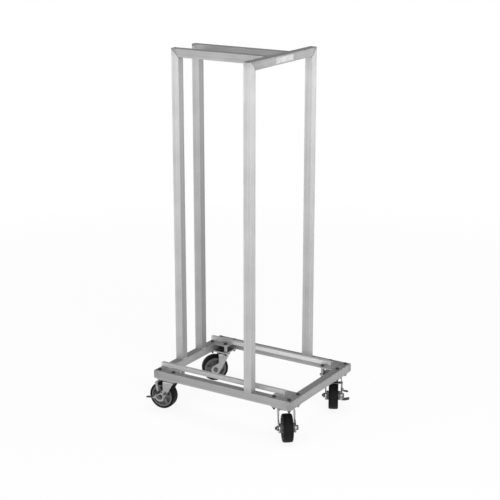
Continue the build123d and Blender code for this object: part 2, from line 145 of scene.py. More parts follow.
class Value:
    """Output of a node that takes part in Python arithmetic: each operator adds one Math node."""

    def __init__(self, graph: "Graph", socket: bpy.types.NodeSocket) -> None:
        """Keeps the graph and the socket."""
        self.graph = graph
        self.socket = socket

    def _math(self, operation: str, first: Socketable, second: Socketable) -> "Value":
        """One Math node on two operands."""
        sockets = {"Value": first, "Value_001": second}
        return self.graph.node("ShaderNodeMath", {"operation": operation}, sockets)

    def __add__(self, other: Socketable) -> "Value":
        """Sum."""
        return self._math("ADD", self, other)

    def __radd__(self, other: Socketable) -> "Value":
        """Sum with a number on the left."""
        return self._math("ADD", other, self)

    def __sub__(self, other: Socketable) -> "Value":
        """Difference."""
        return self._math("SUBTRACT", self, other)

    def __rsub__(self, other: Socketable) -> "Value":
        """Difference from a number on the left."""
        return self._math("SUBTRACT", other, self)

    def __mul__(self, other: Socketable) -> "Value":
        """Product."""
        return self._math("MULTIPLY", self, other)

    def __rmul__(self, other: Socketable) -> "Value":
        """Product with a number on the left."""
        return self._math("MULTIPLY", other, self)

    def __abs__(self) -> "Value":
        """Size without its sign."""
        return self.graph.node("ShaderNodeMath", {"operation": "ABSOLUTE"}, {"Value": self})

    def most(self, other: Socketable) -> "Value":
        """The greater of two values."""
        return self._math("MAXIMUM", self, other)

    def share(self, low: float, high: float) -> "Value":
        """Share of the way from low to high, kept between 0 and 1."""
        sockets = {"Value": self, "From Min": low, "From Max": high}
        return self.graph.node("ShaderNodeMapRange", {"clamp": True}, sockets)

    def mixed(self, other: "Value", share: float) -> "Value":
        """That share of this value with the rest taken from the other."""
        return share * self + (1.0 - share) * other


class Graph:
    """Node tree of a material or of the world, filled through one method."""

    def __init__(self, tree: bpy.types.NodeTree) -> None:
        """Takes over an empty tree."""
        self.tree = tree
        tree.nodes.clear()

    def node(
        self,
        kind: str,
        settings: dict[str, Any] | None = None,
        sockets: dict[str, Socketable] | None = None,
        output: str | None = None,
    ) -> Value:
        """Adds a node.

        Args:
            kind: The node's type.
            settings: Properties that are set first.
            sockets: Values or links, by a socket's identifier or name.
            output: Identifier or name of the output that is handed back, or the first that is in use.

        Returns:
            The chosen output.
        """
        made = self.tree.nodes.new(kind)
        for name, setting in (settings or {}).items():
            setattr(made, name, setting)
        for name, value in (sockets or {}).items():
            socket = self._find(made.inputs, name)
            if isinstance(value, Value):
                self.tree.links.new(value.socket, socket)
            else:
                socket.default_value = value
        used = [socket for socket in made.outputs if socket.enabled]
        return Value(self, self._find(made.outputs, output) if output else (used or [None])[0])

    @staticmethod
    def _find(sockets: Any, name: str) -> bpy.types.NodeSocket:
        """Socket with that identifier, or else with that name."""
        return next((s for s in sockets if s.identifier == name), None) or sockets[name]

    def object_place(self) -> Value:
        """Object coordinates, which are the frame's own, in metres."""
        return self.node("ShaderNodeTexCoord", output="Object")

    def away_from(self, place: Value, middle: Triple) -> Value:
        """Coordinates measured from a middle."""
        sockets = {"Vector": place, "Vector_001": middle}
        return self.node("ShaderNodeVectorMath", {"operation": "SUBTRACT"}, sockets)

    def drawn(self, place: Value, scale: Triple, turn: Triple = (0.0, 0.0, 0.0)) -> Value:
        """Coordinates with each axis scaled by itself, then turned."""
        return self.node("ShaderNodeMapping", sockets={"Vector": place, "Scale": scale, "Rotation": turn})

    def axes(self, place: Value) -> list[Value]:
        """The three coordinates as numbers."""
        split = self.node("ShaderNodeSeparateXYZ", sockets={"Vector": place}, output="X")
        return [Value(self, socket) for socket in split.socket.node.outputs]

    def length(self, place: Value) -> Value:
        """Distance from the origin of the coordinates."""
        return self.node("ShaderNodeVectorMath", {"operation": "LENGTH"}, {"Vector": place}, "Value")

    def shade(self) -> Value:
        """The shade that a piece's own points carry, from 0 to 1: painted light and shade on weld beads, and
        wear with a painted highlight on tyres.
        """
        return self.node("ShaderNodeAttribute", {"attribute_name": SHADE}, output="Fac")

    def noise(self, place: Value, scale: float, detail: float = 2.0) -> Value:
        """Noise from 0 to 1 with that many features to the metre."""
        sockets = {"Vector": place, "Scale": scale, "Detail": detail}
        return self.node("ShaderNodeTexNoise", sockets=sockets, output="Fac")

    def clouds(self, place: Value, scale: float) -> Value:
        """Soft clouds from 0 to 1, that many to the metre: noise with its middle band drawn out."""
        return self.noise(place, scale, detail=3.0).share(*MIDDLE_BAND)

    def cells(self, place: Value, scale: float) -> Value:
        """A grey from 0 to 1 for each crystal cell of a random pattern.

        Args:
            place: Coordinates that the pattern follows.
            scale: Cells to the metre.

        Returns:
            The grey.
        """
        sockets = {"Vector": place, "Scale": scale}
        colour = self.node("ShaderNodeTexVoronoi", sockets=sockets, output="Color")
        return self.node("ShaderNodeSeparateColor", sockets={"Color": colour}, output="Red")

    def blend(self, first: tuple, second: tuple, factor: Value) -> Value:
        """Colour that goes from the first to the second as factor goes from 0 to 1."""
        sockets = {"Factor_Float": factor, "A_Color": first, "B_Color": second}
        return self.node("ShaderNodeMix", {"data_type": "RGBA"}, sockets, "Result_Color")


# Finishes

TUBE_DARK = 0.24
TUBE_LIGHT = 0.54


class Pattern(NamedTuple):
    """What changes over a surface, each from about 0 to 1."""

    tone: Value
    matt: Value
    relief: Value


@dataclass(frozen=True)
class Finish:
    """Finish of a surface: two colours, two roughnesses and a relief, mixed by the pattern of its kind."""

    name: str
    slot: Slot
    dark: Triple
    light: Triple
    smooth: float
    rough: float
    metallic: float
    relief: float
    specular: float = 0.5

    def pattern(self, graph: Graph) -> Pattern:
        """Pattern of this kind of finish."""
        raise NotImplementedError

    def material(self) -> bpy.types.Material:
        """The finish as a material, made once.

        Returns:
            The material of this name.
        """
        found = bpy.data.materials.get(self.name)
        if found:
            return found
        made = bpy.data.materials.new(self.name)
        made.use_nodes = True
        graph = Graph(made.node_tree)
        pattern = self.pattern(graph)
        bump = graph.node(
            "ShaderNodeBump", sockets={"Height": pattern.relief, "Strength": 1.0, "Distance": self.relief}
        )
        shader = graph.node(
            "ShaderNodeBsdfPrincipled",
            sockets={
                "Base Color": graph.blend((*self.dark, 1.0), (*self.light, 1.0), pattern.tone),
                "Roughness": self.smooth + (self.rough - self.smooth) * pattern.matt,
                "Metallic": self.metallic,
                "Specular IOR Level": self.specular,
                "Normal": bump,
            },
        )
        graph.node("ShaderNodeOutputMaterial", sockets={"Surface": shader})
        return made


@dataclass(frozen=True)
class BrushedTube(Finish):
    """Satin aluminium tube: brushed along its length, rubbed at its corners and dulled beside its welds.

    A stop also gets painted shade on its side along +X, which looks into the bay. A mark's plain name says
    how many there are to the metre, its band which part of its noise shows, and its tone and matt how much
    it changes the colour and the roughness.
    """

    grain: Grain = Grain.X
    middle: Triple = (0.0, 0.0, 0.0)
    half: Triple = (TUBE / 2.0, TUBE / 2.0, TUBE / 2.0)
    welded: bool = True
    # Whether the side along +X gets painted shade.
    stop: bool = False
    clean_tone: float = 0.4
    hairs: float = 1500.0
    hair_band: Band = (0.25, 0.75)
    hair_tone: float = 0.4
    hair_matt: float = 0.5
    stretch: float = 0.012
    streaks: float = 90.0
    streak_tone: float = 0.4
    clouds: float = 6.0
    cloud_tone: float = 0.2
    cloud_matt: float = 0.5
    specks: float = 120.0
    corner_band: Band = (1.86, 1.94)
    rub_band: Band = (0.3, 0.6)
    rub_tone: float = 0.35
    rub_matt: float = 0.4
    scuffs: float = 160.0
    scuff_stretch: Triple = (1.0, 0.05, 0.3)
    scuff_turn: Triple = (0.7, 0.4, 0.5)
    scuff_band: Band = (0.68, 0.74)
    scuff_tone: float = 0.3
    scuff_matt: float = 0.3
    heat: float = 0.034
    heat_core: float = 0.3
    heat_band: Band = (0.25, 0.65)
    heat_tone: float = 0.4
    heat_matt: float = 0.7
    # Painted shade on a stop's side along +X: where it falls, how dark it is, and how much the clouds deepen
    # it.
    painted_shade_band: Band = (0.94, 0.99)
    painted_shade_tone: float = 0.6
    painted_shade_cloud: float = 0.3

    def corner_rub(self, axes: Sequence[Value]) -> Value:
        """Where the corners are: the shares of the way out across both sides add up to almost two."""
        out = [abs(axes[i]) * (1.0 / self.half[i]) for i in range(3) if i != self.grain.value]
        return (out[0] + out[1]).share(*self.corner_band)

    def dull_ends(self, axes: Sequence[Value]) -> Value:
        """One at the welded ends of the tube, falling to nothing over the width that the heat reached."""
        left = self.half[self.grain.value] - abs(axes[self.grain.value])
        return 1.0 - left.share(self.heat_core * self.heat, self.heat)

    def painted_shade_side(self, axes: Sequence[Value]) -> Value:
        """Painted shade mask: one on the side along +X and nothing on the others."""
        return (axes[0] * (1.0 / self.half[0])).share(*self.painted_shade_band)

    def pattern(self, graph: Graph) -> Pattern:
        """Hairlines and streaks along the grain, over clouds, with rubbed corners, scuffs and dull ends.

        The tones of the clean metal start at clean_tone, and below it is left to rubbing, heat and a stop's
        painted shade.

        Args:
            graph: Tree that the pattern's nodes go into.

        Returns:
            The pattern.
        """
        place = graph.away_from(graph.object_place(), self.middle)
        axes = graph.axes(place)
        scale = [1.0, 1.0, 1.0]
        scale[self.grain.value] = self.stretch
        along = graph.drawn(place, tuple(scale))
        hair = graph.noise(along, self.hairs)
        streak = graph.noise(along, self.streaks).share(*MIDDLE_BAND)
        cloud = graph.clouds(place, self.clouds)
        speck = graph.noise(place, self.specks, detail=3.0)
        slanted = graph.drawn(place, self.scuff_stretch, self.scuff_turn)
        scuff = graph.noise(slanted, self.scuffs).share(*self.scuff_band)
        rub = self.corner_rub(axes) * speck.share(*self.rub_band)
        tone = self.hair_tone * hair.share(*self.hair_band) + self.streak_tone * streak
        tone = tone + self.cloud_tone * cloud + self.rub_tone * rub + self.scuff_tone * scuff
        matt = self.hair_matt * hair.share(*MIDDLE_BAND) + self.cloud_matt * (1.0 - cloud)
        matt = matt - self.rub_matt * rub - self.scuff_matt * scuff
        if self.welded:
            dull = self.dull_ends(axes) * speck.share(*self.heat_band)
            tone, matt = tone - self.heat_tone * dull, matt + self.heat_matt * dull
        # A stop's side along +X is darkened as painted shade.
        if self.stop:
            tone = tone - self.painted_shade_side(axes) * (self.painted_shade_tone + self.painted_shade_cloud * cloud)
        return Pattern(self.clean_tone + (1.0 - self.clean_tone) * tone, matt, hair)


@dataclass(frozen=True)
class ZincPlating(Finish):
    """Zinc-plated steel with fine crystal cells and handling marks."""

    crystals: float = 420.0
    clouds: float = 35.0
    grains: float = 1680.0
    cell_tone: float = 0.4
    cloud_matt: float = 0.5

    def pattern(self, graph: Graph) -> Pattern:
        """Crystal cells under soft clouds, with a fine grain for the relief.

        Args:
            graph: Tree that the pattern's nodes go into.

        Returns:
            The pattern.
        """
        place = graph.object_place()
        cell = graph.cells(place, self.crystals)
        cloud = graph.clouds(place, self.clouds)
        grain = graph.noise(place, self.grains)
        return Pattern(cell.mixed(cloud, self.cell_tone), cloud.mixed(grain, self.cloud_matt), grain)


@dataclass(frozen=True)
class CastSkin(Finish):
    """Sand-cast or moulded skin: pebbled relief, with lighter rubbed high spots."""

    pebbles: float = 900.0
    clouds: float = 45.0
    pebble_tone: float = 0.3
    pebble_matt: float = 0.5

    def pattern(self, graph: Graph) -> Pattern:
        """Pebbled noise for the relief, clouds and pebbles for the tone.

        Args:
            graph: Tree that the pattern's nodes go into.

        Returns:
            The pattern.
        """
        place = graph.object_place()
        pebble = graph.noise(place, self.pebbles, detail=3.0)
        cloud = graph.clouds(place, self.clouds)
        tone = pebble.mixed(cloud, self.pebble_tone)
        return Pattern(tone, pebble.mixed(1.0 - cloud, self.pebble_matt), pebble)


@dataclass(frozen=True)
class WeldBead(CastSkin):
    """Weld bead with a painted highlight on its crest and painted shade at its toes."""

    crest_tone: float = 0.6
    skin_tone: float = 0.6

    def pattern(self, graph: Graph) -> Pattern:
        """The cast skin, darkened from the crest to the toes by the shade of the bead's points, which is
        painted light and shade.
        """
        skin = super().pattern(graph)
        return skin._replace(tone=graph.shade() * (self.crest_tone + self.skin_tone * skin.tone))


@dataclass(frozen=True)
class WornRubber(Finish):
    """Black tyre rubber with a fine moulded grain, worn dull and dusty where it rolls; the lighter middle of
    the tread is also a painted highlight.
    """

    grit: float = 1400.0
    dust: float = 70.0
    dust_band: Band = (0.4, 0.75)
    bare_wear: float = 0.55
    wear_tone: float = 0.8
    wear_matt: float = 0.7

    def pattern(self, graph: Graph) -> Pattern:
        """Fine grit for the relief, and wear with a painted highlight from the shade of the tyre's points,
        broken up by dust.

        Args:
            graph: Tree that the pattern's nodes go into.

        Returns:
            The pattern.
        """
        place = graph.object_place()
        grit = graph.noise(place, self.grit, detail=3.0)
        dust = graph.noise(place, self.dust, detail=4.0).share(*self.dust_band)
        worn_and_highlit = graph.shade() * (self.bare_wear + (1.0 - self.bare_wear) * dust)
        return Pattern(worn_and_highlit.mixed(grit * dust, self.wear_tone), worn_and_highlit.mixed(grit, self.wear_matt), grit)


def grey(level: float, warmth: float = 0.0) -> Triple:
    """Grey of that linear level, a little warmer or cooler."""
    return level * (1.0 + warmth), level, level * (1.0 - warmth)


def tube_finish(
    node: str, grain: Grain, welded: bool, painted_brightness: float = 1.0, stop: bool = False
) -> BrushedTube:
    """Brushed aluminium fitted to one tube or plate.

    Args:
        node: Node of the frame that it goes on.
        grain: Direction of the brushing.
        welded: Whether both of its ends are welded.
        painted_brightness: How many times as bright as plain tube it is: painted light and shade.
        stop: Whether its side along +X gets painted shade.

    Returns:
        The finish, centred on the node.
    """
    return BrushedTube(
        name=f"satin_aluminium_{node}", slot=Slot.ALUMINIUM, dark=grey(TUBE_DARK * painted_brightness, warmth=-0.004),
        light=grey(TUBE_LIGHT * painted_brightness, warmth=0.002), smooth=0.5, rough=0.66, metallic=0.75,
        relief=0.00003, grain=grain, middle=tuple(middle_of(node)), half=tuple(span_of(node) / 2.0),
        welded=welded, stop=stop,
    )


# Weld metal: its light and dark colours carry the painted highlight on the beads' crests and the painted
# shade at their toes, ends and ripples.
WELD = WeldBead(
    name="weld_aluminium", slot=Slot.ALUMINIUM, dark=grey(0.1), light=grey(0.72), smooth=0.42, rough=0.6,
    metallic=0.85, relief=0.00004,
)
BLANK = CastSkin(
    name="blank_plate_aluminium", slot=Slot.ALUMINIUM, dark=grey(0.48), light=grey(0.57), smooth=0.45,
    rough=0.58, metallic=0.5, relief=0.00001,
)
ZINC = ZincPlating(
    name="zinc_plating", slot=Slot.ZINC, dark=grey(0.31, warmth=-0.01), light=grey(0.46, warmth=0.005),
    smooth=0.28, rough=0.46, metallic=1.0, relief=0.00002,
)
FASTENER = CastSkin(
    name="dark_fastener_steel", slot=Slot.FASTENER, dark=grey(0.07), light=grey(0.15), smooth=0.3, rough=0.5,
    metallic=1.0, relief=0.00002,
)
BEARING = CastSkin(
    name="bearing_steel_ground", slot=Slot.BEARING, dark=grey(0.42), light=grey(0.6), smooth=0.16, rough=0.3,
    metallic=1.0, relief=0.00001,
)
HUB = CastSkin(
    name="cast_hub_grey", slot=Slot.HUB, dark=grey(0.12), light=grey(0.19), smooth=0.42, rough=0.62,
    metallic=0.25, relief=0.00012,
)
RUBBER = WornRubber(
    name="tyre_rubber_black", slot=Slot.RUBBER, dark=grey(0.003), light=grey(0.012), smooth=0.55, rough=0.75,
    metallic=0.0, relief=0.00005, specular=0.15,
)
GRIP = CastSkin(
    name="pedal_grip_vinyl", slot=Slot.RUBBER, dark=grey(0.045), light=grey(0.085), smooth=0.45, rough=0.65,
    metallic=0.0, relief=0.00006, specular=0.35,
)


def dress(piece: bpy.types.Object, finish: Finish) -> None:
    """Puts a finish on a piece or on a node of the frame, as its only material."""
    piece.data.materials.clear()
    piece.data.materials.append(finish.material())


def dress_nodes(names: Sequence[str], finish: Finish) -> None:
    """Puts one finish on several nodes of the frame, and reports each.

    Args:
        names: Nodes of the frame.
        finish: Finish that they get.
    """
    for name in names:
        dress(frame["nodes"][name], finish)
        LOG.info("dressed %s with %s", name, finish.name)


# Surfaces

NEARLY_ALONG = 0.9


def round_turn(columns: int) -> Array:
    """Angles of that many columns, spread evenly round one turn."""
    return np.linspace(0.0, 2.0 * pi, columns, endpoint=False)


def quarter_turn(steps: int) -> Array:
    """Angles of that many steps from zero to a quarter of a turn."""
    return np.linspace(0.0, pi / 2.0, steps)


@dataclass(frozen=True)
class Patch:
    """Closed surface on a grid: columns run round and meet, rows end in flat caps or, looped, meet too."""

    points: Array
    looped: bool = False
    shade: Array | float = 1.0

    def dulled(self, share: float) -> "Patch":
        """The same surface with its shade taken down to a share of it."""
        return Patch(self.points, self.looped, share * self.shade)

    def faces(self, start: int) -> list[list[int]]:
        """Faces of the grid, turned so that they point outwards.

        Each quad joins a point to its neighbours in the next row and column. Six times the enclosed volume
        is the sum over the triangles of the faces of the triple product of their corners, and its sign says
        which way they face.

        Args:
            start: Number of the first point.

        Returns:
            Lists of point numbers.
        """
        rows, columns = self.points.shape[:2]
        index = np.arange(rows * columns).reshape(rows, columns)
        low, high = (index, np.roll(index, -1, 0)) if self.looped else (index[:-1], index[1:])
        quads = np.stack([low, np.roll(low, -1, 1), np.roll(high, -1, 1), high], -1).reshape(-1, 4)
        caps = [] if self.looped else [index[0, ::-1], index[-1]]
        flat = (self.points - self.points.mean((0, 1))).reshape(-1, 3)
        a, b, c, d = (flat[quads[:, i]] for i in range(4))
        volume = np.sum(np.cross(a, b) * c) + np.sum(np.cross(a, c) * d)
        for cap in caps:
            volume += np.sum(np.cross(flat[cap], flat[np.roll(cap, -1)]) * flat[cap].mean(0))
        way = 1 if volume > 0 else -1
        return (start + quads[:, ::way]).tolist() + [(start + cap[::way]).tolist() for cap in caps]


@dataclass(frozen=True)
class Seat:
    """Place and axes that a local shape is set down on: rows are its own X, Y and Z in the frame."""

    origin: Array
    axes: Array = field(default_factory=lambda: np.eye(3))

    def put(self, patch: Patch) -> Patch:
        """The patch carried from its own axes to the frame: origin plus each coordinate along its axis."""
        return Patch(self.origin + patch.points @ self.axes, patch.looped, patch.shade)


def seat_along(origin: Array, axis: Array) -> Seat:
    """Seat whose own Z points along an axis.

    Args:
        origin: Place in the frame.
        axis: Unit direction of the seat's own Z.

    Returns:
        The seat, its other axes square to the first.
    """
    aside = np.cross(axis, X if abs(axis[0]) < NEARLY_ALONG else Y)
    aside = aside / np.linalg.norm(aside)
    return Seat(np.asarray(origin), np.stack([aside, np.cross(axis, aside), axis]))


def turned(
    radii: Array, heights: Array, columns: int, looped: bool = False, shade: Array | float = 1.0
) -> Patch:
    """Surface turned about Z: radius and height at each row and column, the columns spread round the turn.

    Args:
        radii: One radius for each row, or for each row and column.
        heights: One height for each row.
        columns: Points round the turn.
        looped: Whether the last row meets the first.
        shade: Shade of the points, one for each row.

    Returns:
        The surface.
    """
    angle = round_turn(columns)
    radius = np.broadcast_to(radii if radii.ndim == 2 else radii[:, None], (len(heights), columns))
    height = np.broadcast_to(heights[:, None], radius.shape)
    return Patch(np.stack([radius * np.cos(angle), radius * np.sin(angle), height], -1), looped, shade)


def add_piece(
    name: str, patches: Sequence[Patch], finish: Finish, body: str, crease: float = 32.0
) -> bpy.types.Object:
    """Joins closed patches in one mesh that rides on a body.

    Args:
        name: Name of the piece.
        patches: Its surfaces, in the frame.
        finish: Its finish.
        body: Body that it moves with.
        crease: Angle in degrees past which an edge stays sharp.

    Returns:
        The new object.
    """
    starts = np.cumsum([0] + [patch.points[..., 0].size for patch in patches])
    faces = [face for patch, start in zip(patches, starts) for face in patch.faces(start)]
    mesh = bpy.data.meshes.new(name)
    mesh.from_pydata(np.concatenate([patch.points.reshape(-1, 3) for patch in patches]), [], faces)
    shades = [np.broadcast_to(patch.shade, patch.points.shape[:2]).ravel() for patch in patches]
    mesh.attributes.new(SHADE, "FLOAT", "POINT").data.foreach_set("value", np.concatenate(shades))
    mesh.shade_smooth()
    mesh.set_sharp_from_angle(angle=radians(crease))
    piece = bpy.data.objects.new(name, mesh)
    bpy.context.scene.collection.objects.link(piece)
    dress(piece, finish)
    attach(piece, body)
    LOG.info("built %s: %d faces on %s", name, len(faces), body)
    return piece


# Fasteners

SIXTH = pi / 3.0
BEVEL_FACE = 0.47
BEVEL_DEPTH = 0.08
BEVEL_ANGLE = radians(60.0)


def hexagon(across: float, columns: int) -> Array:
    """Radius of a hexagon round the turn: half its width over the cosine of the angle from a flat."""
    from_flat = (round_turn(columns) + SIXTH / 2.0) % SIXTH - SIXTH / 2.0
    return across / 2.0 / np.cos(from_flat)


def bevelled_end(across: float, columns: int, rows: int = 7) -> tuple[Array, Array]:
    """Bevelled end of a hexagon, from its face inwards.

    The radius is the lesser of the hexagon's and of a cone's, which starts inside the flats and widens
    with the depth by the tangent of the bevel's angle.

    Args:
        across: Width across the flats.
        columns: Points round the turn.
        rows: Steps down the bevel.

    Returns:
        The radius at each row and column, and the depth of each row.
    """
    depth = np.linspace(0.0, BEVEL_DEPTH * across, rows)
    cone = BEVEL_FACE * across + depth[:, None] * tan(BEVEL_ANGLE)
    return np.minimum(hexagon(across, columns), cone), depth


@dataclass(frozen=True)
class HexBolt:
    """Hexagon bolt about Z, the underside of its head at zero and its thread downwards.

    The depth of the thread is a share of the pitch, and the radius of the point a share of the shank's.
    """

    across: float
    head: float
    shank: float
    length: float
    pitch: float
    thread: float
    thread_depth: float = 0.54
    point: float = 0.75
    steps: int = 8
    columns: int = 48

    def patch(self) -> Patch:
        """The bolt as one turned surface.

        The thread's radius swings between crest and root as the cosine of the turn plus the height over
        the pitch, and a cone takes off its end.

        Returns:
            The bolt about its own axis.
        """
        crown, depth = bevelled_end(self.across, self.columns)
        plain = np.full((2, self.columns), self.shank)
        top = self.thread - self.length
        drop = np.linspace(top, -self.length, int(self.steps * self.thread / self.pitch))
        turn = round_turn(self.columns)
        swing = 0.5 + 0.5 * np.cos(2.0 * pi * drop[:, None] / self.pitch + turn)
        screw = self.shank - self.thread_depth * self.pitch * swing
        screw = np.minimum(screw, self.point * self.shank + drop[:, None] + self.length)
        radii = np.concatenate([crown, hexagon(self.across, self.columns)[None, :], plain, screw])
        heights = np.concatenate([self.head - depth, [0.0, 0.0, top], drop])
        return turned(radii, heights, self.columns)


@dataclass(frozen=True)
class HexNut:
    """Hexagon nut about Z from zero up to its height, with a round collar on top where it has one.

    The collar's radius is a share of the width across the flats, and its round a share of its own height.
    """

    across: float
    height: float
    bore: float
    collar: float = 0.0
    collar_reach: float = 0.43
    collar_round: float = 0.6
    collar_steps: int = 6
    columns: int = 48

    def collar_rows(self) -> tuple[Array, Array]:
        """Radii and heights of the collar: straight up, then over its rim along a quarter circle.

        Returns:
            One radius and one height for each row, and none where there is no collar.
        """
        if not self.collar:
            return np.empty(0), np.empty(0)
        bend = quarter_turn(self.collar_steps)
        rim, wall = self.collar_round * self.collar, self.collar_reach * self.across
        radii = np.concatenate([[wall], wall - rim * (1.0 - np.cos(bend))])
        drop = np.concatenate([[self.collar], rim * (1.0 - np.sin(bend))])
        return radii, self.height - drop

    def patch(self) -> Patch:
        """The nut as a looped surface: up its bevelled hexagon, over the collar and back down the bore.

        Returns:
            The nut about its own axis.
        """
        bevel, depth = bevelled_end(self.across, self.columns)
        collar, rise = self.collar_rows()
        smooth = np.concatenate([collar, [self.bore, self.bore]])
        rows = np.broadcast_to(smooth[:, None], (len(smooth), self.columns))
        top = self.height - self.collar
        heights = np.concatenate([depth, top - depth[::-1], rise, [self.height, 0.0]])
        return turned(np.concatenate([bevel, bevel[::-1], rows]), heights, self.columns, looped=True)


# Frame


@dataclass
class TubeFrame:
    """Welded frame: base, posts, top bars, rails and gussets, each brushed along its own length."""

    along: dict[Grain, tuple[str, ...]] = field(
        default_factory=lambda: {
            Grain.X: (
                "front_base_tube", "back_base_tube", "front_top_bar", "back_top_bar",
                "front_rail", "back_rail",
            ),
            Grain.Y: ("left_base_tube", "right_base_tube", "cross_top_bar"),
            Grain.Z: STOP_POSTS + SIDE_POSTS,
        }
    )
    # Painted sheen: tubes brushed up and down are painted brighter than those brushed across, standing in
    # for the way their grain spreads the light.
    painted_brightness: dict[Grain, float] = field(
        default_factory=lambda: {Grain.X: 0.85, Grain.Y: 0.85, Grain.Z: 1.14}
    )
    # Painted light and shade on single tubes: the cross bar and the back left post are darkened as painted
    # shade, and the rails are lightened as a painted highlight and partly as rubbing by the pans.
    own_painted_brightness: dict[str, float] = field(
        default_factory=lambda: {
            "front_rail": 1.6, "back_rail": 1.6, "cross_top_bar": 0.75, "left_back_post": 0.98,
        }
    )

    def dress(self) -> None:
        """Brushes each tube along its length, and the gussets along X, each at its painted brightness. The
        rails are painted brighter, partly as rubbing by the pans and partly as a painted highlight.
        """
        for grain, names in self.along.items():
            for name in names:
                painted_brightness = self.own_painted_brightness.get(name, self.painted_brightness[grain])
                # Stops get painted shade on their side along +X.
                welded, stop = not name.endswith("rail"), name in STOP_POSTS
                dress_nodes([name], tube_finish(name, grain, welded, painted_brightness, stop))
        for corner in Corner:
            name = f"{corner.value}_gusset"
            dress_nodes([name], tube_finish(name, Grain.X, welded=False))


@dataclass(frozen=True)
class MitreLook:
    """Painted shade on a mitre's beads: how dark the outer edge is painted, the painted shadow in the fillet
    inside, and that fillet's leg.
    """

    edge_shade: float
    inner_shade: float
    inner_leg: float


@dataclass(frozen=True)
class BeadShape:
    """Form of a bead: its crest's angle in the section and the angle from there to its toes, in degrees.

    Its ends draw in with a power of the place along it. The higher that is, the blunter they are.
    """

    # Crest and toes also place the bead's painted highlight and painted shade.
    crest: float
    toes: float
    power: int = 8


